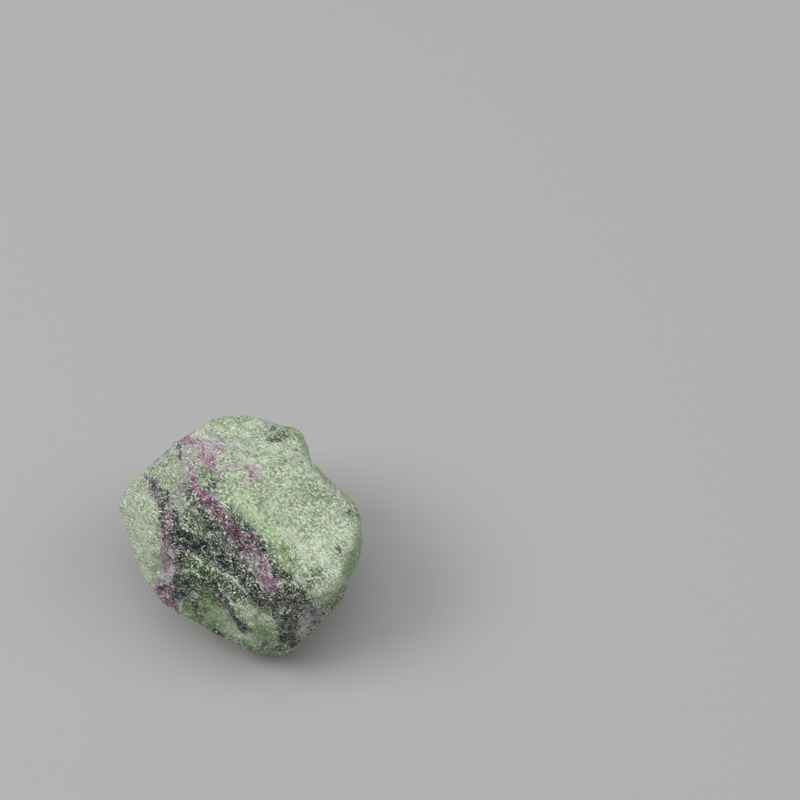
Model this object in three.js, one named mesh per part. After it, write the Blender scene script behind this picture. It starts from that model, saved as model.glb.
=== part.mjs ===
// A rough piece of zoisite rock with ruby and dark amphibole in it, broken from a vein and lying on its
// flattest fracture face. One solid, in millimetres, +Z up, its base on Z = 0 and centred on the origin.
//
// The stone is shaped in an eye frame that looks straight at its broad side: x to the right, y up and z
// towards the eye, all from the heart of the stone. It is then tipped back into the pose in which it rests.
import * as THREE from "three";
import { mergeVertices } from "three/addons/utils/BufferGeometryUtils.js";
import { ImprovedNoise } from "three/addons/math/ImprovedNoise.js";

// Driving sizes, in millimetres and degrees.
const TIP_BACK = 30; // from the eye frame to the resting pose, about x
const BASE_DEPTH = 15.6; // from the heart down to the face that the stone lies on
const BASE_ROUNDING = 0.4; // how much of the rounded lying face is taken off to make it flat
const SPHERE_SPLITS = 21; // the sphere starts as an icosahedron whose edges are cut into one more than this
const EDGE_CRISPNESS = 70; // higher is a sharper edge where two fracture faces meet
const CHIPS = 46; // small facets knocked off all round
const CHIP_DEPTH = 1.8; // about how much the deepest chip takes off an edge or a corner
const CHIP_FREE = 0.56; // no chip faces closer than this cosine to the base or the pale broad face

// The rock's mineral bands run this way in the eye frame, and its roughness is drawn out along them.
const BANDS = new THREE.Vector3(0.72, -0.66, 0.2).normalize();
const BAND_STRETCH = 1.9;

// The rim is the stone's outline as the eye sees it. Each stretch has the bearing that it faces, in degrees
// from x towards y, its distance from the heart, how far the front and the back faces lean in from it for
// each millimetre that they rise or fall, and its level in z.
const RIM = [
  { name: "top left shoulder", bearing: 112, reach: 22.6, front: 0.75, back: 0.3, level: -2 },
  { name: "top", bearing: 89, reach: 22.5, front: 0.7, back: 0.4, level: -2 },
  { name: "top right", bearing: 69, reach: 23.8, front: 0.6, back: 0.35, level: -2 },
  { name: "upper right flank", bearing: 43, reach: 22.4, front: 0.3, back: 0.4, level: 1 },
  { name: "right end", bearing: 2, reach: 24.2, front: 0.16, back: 0.45, level: 1 },
  { name: "lower right flank", bearing: -26, reach: 22.8, front: 0.2, back: 0.4, level: 1 },
  { name: "lower right corner", bearing: -54, reach: 22.2, front: 0.34, back: 0.25, level: 1 },
  { name: "bottom", bearing: -86, reach: 22.2, front: 0.7, back: 0.2, level: 1 },
  { name: "lower left wall", bearing: -117, reach: 16.9, front: 0.45, back: 0.2, level: 1 },
  { name: "lower left corner", bearing: -135, reach: 18.8, front: 0.4, back: 0.25, level: 1 },
  { name: "left end", bearing: -156, reach: 17.9, front: 0.55, back: 0.35, level: 0 },
  { name: "left tip", bearing: 156, reach: 22.5, front: 0.6, back: 0.4, level: 0 },
  { name: "upper left flank", bearing: 133, reach: 21.1, front: 0.6, back: 0.3, level: -1 },
];

// The fracture faces inside the rim, each with the way that it faces and its distance from the heart.
const FACES = [
  { name: "pale broad face", facing: [0.24, 0.24, 1], reach: 15.8 },
  { name: "upper face left of the crest", facing: [-0.36, 0.4, 1], reach: 16.0 },
  { name: "dark face below the crest", facing: [-0.4, -0.46, 1], reach: 15.1 },
  { name: "left cheek", facing: [-0.95, 0.05, 1], reach: 17.4 },
  { name: "far back", facing: [0.2, 0.8, -1], reach: 17.6 },
  { name: "under the left end", facing: [-1, -0.1, -0.75], reach: 18.2 },
  { name: "under the right end", facing: [1, 0.25, -0.9], reach: 18.6 },
];

// The crest runs down the left edge of the pale face, and the ledge crosses the dark face below it.
const CREST = [[-8.4, 12.2], [-7.6, 8.0], [-5.3, 4.9], [-0.3, 3.2], [3.5, 0.1], [5.8, -4.5], [9.5, -8.6]];
const LEDGE = [[-10.4, -3.2], [-5.8, -5.8], [-2.2, -8.6], [1.0, -12.0], [3.0, -15.6]];

// Steps broken along a line: the side that lies to the right of the line, going along it, drops by the
// drop within the width, and has risen to the old level again at the reach.
const STEPS = [
  { name: "below the crest", path: CREST, drop: 1.7, width: 2.1, reach: 9 },
  { name: "below the ledge", path: LEDGE, drop: 1.3, width: 1.3, reach: 6 },
  {
    name: "behind the left cheek",
    path: [[-14.6, -9.0], [-14.5, -0.9], [-13.8, 5.4], [-17.3, 10.4]],
    drop: 0.9, width: 1.5, reach: 6,
  },
];

// Ridges and grooves along a line, with the height at the middle and the width.
const RIDGES = [
  { name: "lip of the ledge", path: LEDGE, height: 0.9, width: 1.5 },
  {
    name: "crevice beside the ruby",
    path: [[-12.0, -4.0], [-11.8, -7.6], [-11.4, -11.0]],
    height: -1.2, width: 1.3,
  },
  {
    name: "crevice under the ledge",
    path: [[-8.6, -8.0], [-5.2, -10.8], [-2.8, -14.8]],
    height: -0.7, width: 1.5,
  },
];

// Lumps and hollows round a point, with the height and the radius.
const LUMPS = [
  { name: "top right knob", at: [10.6, 17.2, 1.5], height: 1.6, radius: 3.2 },
  { name: "scoop in the upper right flank", at: [16.0, 12.8, 0.5], height: -2.3, radius: 5.2 },
  { name: "ruby knob in the left column", at: [-13.3, -9.3, 7.5], height: 0.9, radius: 2.4 },
  { name: "ruby knob at the lower left corner", at: [-11.9, -13.3, 3.0], height: 1.1, radius: 2.3 },
  { name: "hollow above the ledge", at: [-8.2, -1.0, 14.5], height: -1.6, radius: 3.7 },
  { name: "hollow below the middle of the crest", at: [-2.2, -4.4, 15], height: -1.0, radius: 3.6 },
  { name: "dimple on the pale face", at: [12.9, -6.8, 12.5], height: -0.6, radius: 2.8 },
  { name: "notch in the right end", at: [20.6, -6.6, 3], height: -1.2, radius: 2.0 },
  { name: "scoop in the back", at: [3, 15, -13], height: -1.7, radius: 5.0 },
  { name: "ridge beside the scoop", at: [-6, 14, -12], height: 1.0, radius: 3.2 },
  { name: "hollow under the left end", at: [-16, -2, -9], height: -1.2, radius: 4.4 },
  { name: "knob under the right end", at: [16, 6, -11], height: 1.1, radius: 3.6 },
];
const WANDER = 0.9; // how far the lines of the steps and ridges wander from their paths
const WANDER_LENGTH = 4.5;

// The roughness of the broken surface: waves of noise, each with its length and height.
const ROUGHNESS = [
  { length: 11, height: 0.8 },
  { length: 5.2, height: 0.6 },
  { length: 2.7, height: 0.42 },
];
const SMOOTH_ABOVE_BASE = 3; // the roughness fades out over this height above the base
const PALE_ROUGHNESS = 0.6; // the pale rock on the far side of the crest breaks this much flatter

const radians = THREE.MathUtils.degToRad;
const { smoothstep } = THREE.MathUtils;
const noise = new ImprovedNoise();

// A rim stretch's two faces. They meet on the outline at the stretch's level.
function rimFaces({ bearing, reach, front, back, level }) {
  const [x, y] = [Math.cos(radians(bearing)), Math.sin(radians(bearing))];
  return [front, -back].map((lean) => ({
    normal: new THREE.Vector3(x, y, lean).normalize(),
    reach: (reach + lean * level) / Math.hypot(1, lean),
  }));
}

const tip = new THREE.Matrix4().makeRotationX(radians(TIP_BACK));
const untip = tip.clone().invert();
const down = new THREE.Vector3(0, 0, -1).applyMatrix4(untip);
const paleFacing = new THREE.Vector3(...FACES[0].facing).normalize();

const faces = [
  ...RIM.flatMap(rimFaces),
  ...FACES.map(({ facing, reach }) => ({ normal: new THREE.Vector3(...facing).normalize(), reach })),
  { normal: down, reach: BASE_DEPTH + BASE_ROUNDING },
];

// The distance from the heart to the faces along a direction, rounded where two faces meet.
function reachTo(someFaces, direction) {
  let total = 0;
  for (const { normal, reach } of someFaces) {
    total += Math.max(0, direction.dot(normal) / reach) ** EDGE_CRISPNESS;
  }
  return total ** (-1 / EDGE_CRISPNESS);
}

const sphere = new THREE.IcosahedronGeometry(1, SPHERE_SPLITS);
sphere.deleteAttribute("normal");
sphere.deleteAttribute("uv");
const geometry = mergeVertices(sphere, 1e-5);
const position = geometry.getAttribute("position");
const directions = [];
for (let i = 0; i < position.count; i += 1) {
  directions.push(new THREE.Vector3().fromBufferAttribute(position, i).normalize());
}

// Chips are spread evenly by a spiral over the sphere. Each takes an edge or a corner off the plain faces,
// as deep as its share of the chip depth. None is taken off the base or off the edge of the pale broad face.
const plain = directions.map((direction) => direction.clone().multiplyScalar(reachTo(faces, direction)));
const chips = [];
for (let i = 0; i < CHIPS; i += 1) {
  const z = 1 - (2 * i + 1) / CHIPS;
  const turn = i * Math.PI * (3 - Math.sqrt(5)) + 0.6;
  const across = Math.sqrt(1 - z * z);
  const normal = new THREE.Vector3(across * Math.cos(turn), across * Math.sin(turn), z);
  const share = 0.5 + noise.noise(i * 7.31, 3.7, 1.9);
  const furthest = Math.max(...plain.map((point) => point.dot(normal)));
  const closeness = Math.max(normal.dot(down), normal.dot(paleFacing));
  if (closeness < CHIP_FREE) chips.push({ normal, reach: furthest - CHIP_DEPTH * share });
}
const allFaces = [...faces, ...chips];

// Where a point stands to a line of points in the eye's plane: its distance from the line, how far it is to
// the right of the nearest stretch, going along it, and how far beyond that stretch's end. The point is
// first moved a little by noise, so that the line wanders.
function beside(path, point) {
  const [u, v, w] = point.toArray().map((length) => length / WANDER_LENGTH);
  const x = point.x + 2 * WANDER * noise.noise(u, v, w);
  const y = point.y + 2 * WANDER * noise.noise(u + 17.3, v + 5.1, w);
  let nearest = { distance: Infinity };
  for (let i = 1; i < path.length; i += 1) {
    const [[ax, ay], [bx, by]] = [path[i - 1], path[i]];
    const [dx, dy] = [bx - ax, by - ay];
    const length = Math.hypot(dx, dy);
    const along = ((x - ax) * dx + (y - ay) * dy) / length ** 2;
    const held = Math.min(1, Math.max(0, along));
    const distance = Math.hypot(x - ax - held * dx, y - ay - held * dy);
    if (distance < nearest.distance) {
      const right = ((x - ax) * dy - (y - ay) * dx) / length;
      nearest = { distance, right, beyond: Math.abs(along - held) * length };
    }
  }
  return nearest;
}

function stepHeight({ path, drop, width, reach }, point) {
  const { right, beyond } = beside(path, point);
  const fall = smoothstep(right, 0, width) * (1 - smoothstep(right, width, reach));
  return -drop * fall * (1 - smoothstep(beyond, 0, reach / 2));
}

function ridgeHeight({ path, height, width }, point) {
  return height * Math.exp(-((beside(path, point).distance / width) ** 2));
}

function lumpHeight({ at, height, radius }, point) {
  return height * Math.exp(-point.distanceToSquared(new THREE.Vector3(...at)) / radius ** 2);
}

// Creased noise, drawn out along the mineral bands.
function waveHeight({ length, height }, point) {
  const drawn = point.clone().addScaledVector(BANDS, point.dot(BANDS) * (1 / BAND_STRETCH - 1));
  const { x, y, z } = drawn.divideScalar(length);
  const rolling = noise.noise(x + 5.3, y + 2.1, z + 8.7);
  const creased = 0.35 - Math.abs(noise.noise(x + 31.7, y + 14.9, z + 3.3)) * 1.6;
  return height * (0.6 * rolling + 0.5 * creased);
}

const sum = (items, height, point) => items.reduce((total, item) => total + height(item, point), 0);

// How much the broken surface stands out of the plain faces at a point, in the eye frame.
function reliefAt(point) {
  const onFront = smoothstep(point.z, -1, 4);
  const aboveBase = BASE_DEPTH - point.dot(down);
  const pale = onFront * (1 - smoothstep(beside(CREST, point).right, -1, 1));
  const roughness = smoothstep(aboveBase, 0, SMOOTH_ABOVE_BASE) * (1 - pale * (1 - PALE_ROUGHNESS));
  return onFront * (sum(STEPS, stepHeight, point) + sum(RIDGES, ridgeHeight, point))
    + sum(LUMPS, lumpHeight, point) + roughness * sum(ROUGHNESS, waveHeight, point);
}

directions.forEach((direction, i) => {
  const reach = reachTo(allFaces, direction);
  const point = direction.clone().multiplyScalar(reach);
  const relief = reliefAt(point);
  point.copy(direction).multiplyScalar(reach + relief).applyMatrix4(tip);
  if (point.z < -BASE_DEPTH) point.multiplyScalar(-BASE_DEPTH / point.z).setZ(-BASE_DEPTH);
  position.setXYZ(i, point.x, point.y, point.z);
});
geometry.computeBoundingBox();
const { min, max } = geometry.boundingBox;
geometry.translate(-(min.x + max.x) / 2, -(min.y + max.y) / 2, BASE_DEPTH);
geometry.computeVertexNormals();

const stone = new THREE.Mesh(
  geometry,
  new THREE.MeshStandardMaterial({ color: 0x8fa584, roughness: 0.75, metalness: 0 }),
);
stone.name = "zoisite_stone";

const group = new THREE.Group();
group.add(stone);

export default group;
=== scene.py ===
"""A rough piece of zoisite rock with ruby bands and dark amphibole, on a pale studio floor.

The solid stone comes from the frame. This file gives it the rock's broken, sugary surface and its minerals,
and sets the floor, the lights and the camera. It keeps to the frame's own axes. Blender takes its lengths in
metres, and the rock is laid out in millimetres.
"""

import math

import bmesh
import bpy
import numpy as np
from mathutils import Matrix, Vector, noise


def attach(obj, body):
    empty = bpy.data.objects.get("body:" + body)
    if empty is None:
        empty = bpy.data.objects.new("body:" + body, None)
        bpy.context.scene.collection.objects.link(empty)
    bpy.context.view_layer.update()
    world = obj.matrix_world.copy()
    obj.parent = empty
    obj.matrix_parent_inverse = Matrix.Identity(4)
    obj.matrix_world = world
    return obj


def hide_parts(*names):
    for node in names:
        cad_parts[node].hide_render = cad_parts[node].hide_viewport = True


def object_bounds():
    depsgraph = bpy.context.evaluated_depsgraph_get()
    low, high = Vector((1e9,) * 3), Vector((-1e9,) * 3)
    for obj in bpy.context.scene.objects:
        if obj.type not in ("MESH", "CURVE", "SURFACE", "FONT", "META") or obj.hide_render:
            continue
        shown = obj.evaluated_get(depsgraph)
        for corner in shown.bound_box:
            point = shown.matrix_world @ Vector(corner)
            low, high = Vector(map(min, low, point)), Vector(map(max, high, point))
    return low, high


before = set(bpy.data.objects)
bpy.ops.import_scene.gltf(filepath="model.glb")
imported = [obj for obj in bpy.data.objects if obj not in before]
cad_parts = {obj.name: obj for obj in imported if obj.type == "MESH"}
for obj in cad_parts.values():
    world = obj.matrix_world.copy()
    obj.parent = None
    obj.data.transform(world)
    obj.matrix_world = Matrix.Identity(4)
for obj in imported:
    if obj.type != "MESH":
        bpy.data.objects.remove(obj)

bl_info = {
    "name": "Zoisite stone",
    "version": (1, 0, 0),
    "blender": (4, 5, 0),
    "location": "3D View > Sidebar > Stone",
    "description": "A rough piece of zoisite rock with ruby bands and dark amphibole on a pale floor",
    "category": "Add Mesh",
}

CAD_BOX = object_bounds()
MM = 0.001

# The eye that the stone's bands were laid out from, the middle of the stone as it sees it, and the heart
# that the solid was shaped around, in millimetres.
EYE = Vector((28.5, -197.0, 364.2))
SEEN_MIDDLE = Vector((-0.08, -0.25, 16.36))
HEART = Vector((-1.25, -0.67, 15.6))
EYE_DOWN = math.radians(57.03)  # how far the camera looks down
LENS = 100.0  # in millimetres, as is the width of the sensor
SENSOR = 36.0
TIP_BACK = math.radians(30)  # how far the line of sight to the stone leans from straight down
BANDS = (0.72, -0.67, -0.16)  # the way that the rock's bands run
BAND_STRETCH = 1.7  # how far its broken surface is drawn out along them
FABRIC_BEARING = math.radians(-43)  # the fibres' way along the bands, seen from above
CROSS_BEARING = math.radians(40)  # the way of the few fibres that lie across the bands

# Where the minerals' zones fade out, in half widths from the zone's line or the sheet's middle, and how
# squarely the surface has to face the eye for the seen zones to count not at all and in full.
ZONE_FADE = (0.3, 1.6)
SHEET_FADE = (0.6, 1.5)
SEEN_FADE = (-0.15, 0.12)

# How far the broken surface may go in and out, how far it is then sunk as a whole to keep to the solid's
# box, the depth at which a recess gets its darkest painted shade, and the heights between which the broken
# surface fades in above the flat base, all in millimetres.
RELIEF = (-0.9, 0.4)
SUNK = 0.1
FULL_SHADE_DEPTH = 0.45
BASE_FADE = (0.1, 1.2)
BASE_TOP = 0.02  # points up to this height, in millimetres, are the base and aren't smoothed

# The fabric's sizes: how far it is stretched along the bands, how far it sways as a share of the sway's
# length, how many times as fine as the grains the crumbs and the mottle are, how long the fibres are in
# widths, and in millimetres the width of the clouds and how far the fibres stand out.
FABRIC_STRETCH = 1.35
SWAY_REACH = 0.6
CRUMB_FINENESS = 1.6
MOTTLE_FINENESS = 0.6
FIBRE_LENGTH = 6.5
CROSS_LENGTH = 4.0
CLOUD = 2.6
FIBRE_HEIGHT = 0.3

# The minerals' places on the side that the eye sees, in millimetres on a plane through the middle of the
# stone, x to the right and y up. Each zone has a name, the share of its grains that are of the mineral,
# and the points of a line with half its width there. A line of one point is a round patch.
RUBY = {
    "knob at the top left corner": (0.8, (-10.0, 17.0, 0.9), (-9.3, 18.5, 0.8)),
    "link to the corner": (0.5, (-8.8, 17.0, 0.6), (-7.2, 16.8, 0.6)),
    "patch under the corner": (0.72, (-6.2, 15.5, 0.8), (-5.0, 15.2, 1.2), (-3.9, 15.7, 0.8)),
    "lower half of the patch": (0.75, (-7.5, 14.3, 0.6), (-6.0, 13.9, 1.2), (-5.2, 12.9, 0.9)),
    "spot in the pale face": (0.6, (1.2, 12.3, 0.8), (2.4, 11.6, 1.2), (3.3, 10.9, 0.7)),
    "foot of the spot": (0.45, (2.2, 11.4, 1.0), (2.4, 9.6, 0.8)),
    "top of the band": (0.8, (-8.7, 12.6, 0.5), (-8.8, 11.0, 0.7), (-8.4, 9.4, 0.9), (-7.8, 8.2, 0.9)),
    "band beside the crest": (0.8, (-7.9, 8.2, 0.8), (-7.0, 7.0, 0.9), (-5.9, 6.0, 1.1), (-4.8, 4.8, 1.2)),
    "band at the middle": (0.78, (-4.8, 4.8, 1.2), (-3.7, 3.6, 1.1), (-2.5, 2.6, 0.9), (-1.6, 1.6, 1.1)),
    "broad end of the band": (0.74, (-1.4, 1.0, 1.3), (-0.4, -0.4, 1.7), (1.0, -1.0, 1.7), (2.2, -1.0, 1.0)),
    "bright foot of the band": (0.98, (-0.2, -2.5, 0.6), (0.8, -2.6, 0.7), (2.2, -1.8, 0.5)),
    "thread to the low band": (0.6, (2.6, -2.8, 0.7), (3.2, -4.0, 0.8), (3.8, -5.0, 0.9)),
    "low band": (0.96, (4.0, -5.2, 0.7), (4.4, -6.6, 0.8), (4.8, -8.2, 0.8), (5.4, -9.4, 0.8)),
    "side of the low band": (0.75, (6.2, -8.3, 0.8), (6.6, -9.4, 0.8), (7.0, -10.6, 0.6)),
    "behind the cheek": (0.5, (-13.1, 4.2, 0.5), (-13.1, 2.2, 0.7), (-13.5, 0.4, 1.0)),
    "grain in the lilac": (0.8, (-14.1, -0.4, 0.5)),
    "red grain at the top of the column": (0.97, (-13.5, -3.3, 0.4), (-12.9, -4.2, 0.4)),
    "column": (0.43, (-13.6, -2.2, 0.8), (-13.1, -4.6, 1.3), (-13.1, -6.8, 0.8), (-13.8, -8.2, 1.2)),
    "red belt of the column": (0.97, (-14.6, -9.5, 0.6), (-13.4, -9.6, 0.7), (-12.3, -9.2, 0.5)),
    "foot of the column": (0.78, (-15.2, -10.2, 0.9), (-14.4, -11.4, 1.2), (-13.4, -12.2, 1.0)),
    "lower left corner": (0.85, (-12.4, -12.9, 1.1), (-11.8, -13.7, 0.8)),
    "speck at the lower right": (0.8, (14.0, -15.7, 0.7), (15.2, -15.3, 0.6)),
    "speck at the bottom right": (0.7, (12.1, -17.8, 0.5)),
    "grains beside the low right flash": (0.62, (10.8, -15.0, 0.8), (11.4, -16.6, 0.5)),
    "grain under the ledge": (0.6, (-3.2, -11.8, 0.5)),
    "line under the low band": (0.45, (8.4, -11.6, 0.4), (11.2, -12.2, 0.4), (12.8, -13.4, 0.4)),
}
LILAC = {
    "top left corner": (0.6, (-11.0, 15.2, 1.1), (-10.2, 16.6, 1.5), (-9.3, 18.4, 1.2)),
    "link to the corner": (0.5, (-8.6, 17.0, 1.2), (-6.6, 16.8, 1.3), (-4.4, 16.6, 1.1)),
    "round the patch": (0.55, (-7.2, 15.2, 1.8), (-5.0, 15.0, 2.2), (-5.4, 12.8, 1.9), (-7.0, 11.6, 1.2)),
    "link to the band": (0.62, (-8.8, 15.4, 0.9), (-9.2, 13.4, 1.1), (-9.0, 12.0, 1.1)),
    "along the band": (0.6, (-8.6, 10.0, 1.4), (-7.2, 7.6, 1.6), (-5.0, 5.2, 2.1), (-3.4, 2.8, 1.9)),
    "below the band": (0.45, (-5.6, 3.4, 1.2), (-4.4, 2.2, 1.2)),
    "grey column left of the band": (0.45, (-10.4, 13.4, 0.9), (-10.6, 10.6, 1.0), (-10.8, 7.4, 1.0)),
    "upper left": (0.33, (-12.6, 13.8, 1.3), (-14.8, 11.6, 1.4)),
    "beside the patch": (0.4, (-6.6, 11.2, 1.2), (-5.6, 9.6, 1.2), (-4.2, 8.8, 1.0)),
    "round the spot": (0.5, (1.6, 12.4, 1.3), (3.6, 11.2, 1.4), (2.3, 10.0, 1.2)),
    "faint veil at the top": (0.36, (-1.4, 16.4, 1.4), (0.4, 14.8, 1.6), (-0.8, 11.6, 1.8), (0.6, 9.4, 1.0)),
    "faint veil at the top left": (
        0.4, (-7.2, 18.6, 1.2), (-4.4, 18.0, 1.2), (-3.2, 13.4, 1.6), (-3.8, 10.8, 1.4),
    ),
    "seam behind the cheek": (
        0.6, (-16.8, 10.2, 1.1), (-15.2, 8.2, 1.6), (-14.2, 6.2, 1.8), (-13.6, 4.4, 1.7),
    ),
    "behind the cheek": (0.75, (-13.3, 4.0, 1.6), (-13.3, 1.0, 1.6), (-13.6, -2.0, 1.8)),
    "column": (0.75, (-13.3, -4.4, 1.8), (-13.2, -6.8, 1.2), (-14.0, -9.0, 1.9)),
    "foot of the column": (0.68, (-14.4, -10.8, 1.7), (-12.8, -11.8, 1.7)),
    "broad end of the band": (0.8, (-1.4, 0.8, 1.8), (0.6, -1.0, 2.4), (1.6, -2.6, 1.8)),
    "between the bands": (0.8, (0.6, -3.6, 1.0), (1.8, -4.4, 1.4), (2.8, -5.8, 1.2), (3.0, -7.4, 0.9)),
    "round the low band": (0.7, (3.6, -4.6, 1.6), (4.4, -7.6, 1.7), (6.0, -9.6, 1.7)),
    "in the belt": (0.5, (-6.2, -1.6, 1.0), (-3.2, -4.8, 1.2), (-0.6, -5.4, 1.4), (0.0, -7.6, 0.9)),
    "foot of the belt": (0.45, (1.6, -10.0, 1.2), (3.6, -11.8, 1.4)),
    "brown end": (0.45, (7.6, -11.6, 1.6), (10.8, -12.6, 1.6), (9.0, -15.6, 1.6), (8.8, -18.2, 1.4)),
    "low right": (0.75, (10.8, -15.4, 1.4), (12.8, -13.8, 1.2), (14.6, -15.4, 1.0)),
    "top right": (0.35, (5.4, 18.4, 1.4), (6.8, 17.2, 1.2)),
    "under the ledge": (0.2, (-7.6, -10.4, 1.2), (-3.4, -11.8, 0.9)),
    "left of the crest": (0.35, (-9.8, 7.6, 1.8), (-8.0, 3.4, 1.8), (-4.4, -0.6, 1.8)),
    "between the seam and the crest": (0.5, (-11.0, 8.0, 1.2), (-11.4, 6.0, 1.6), (-11.0, 4.0, 1.2)),
}
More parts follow.
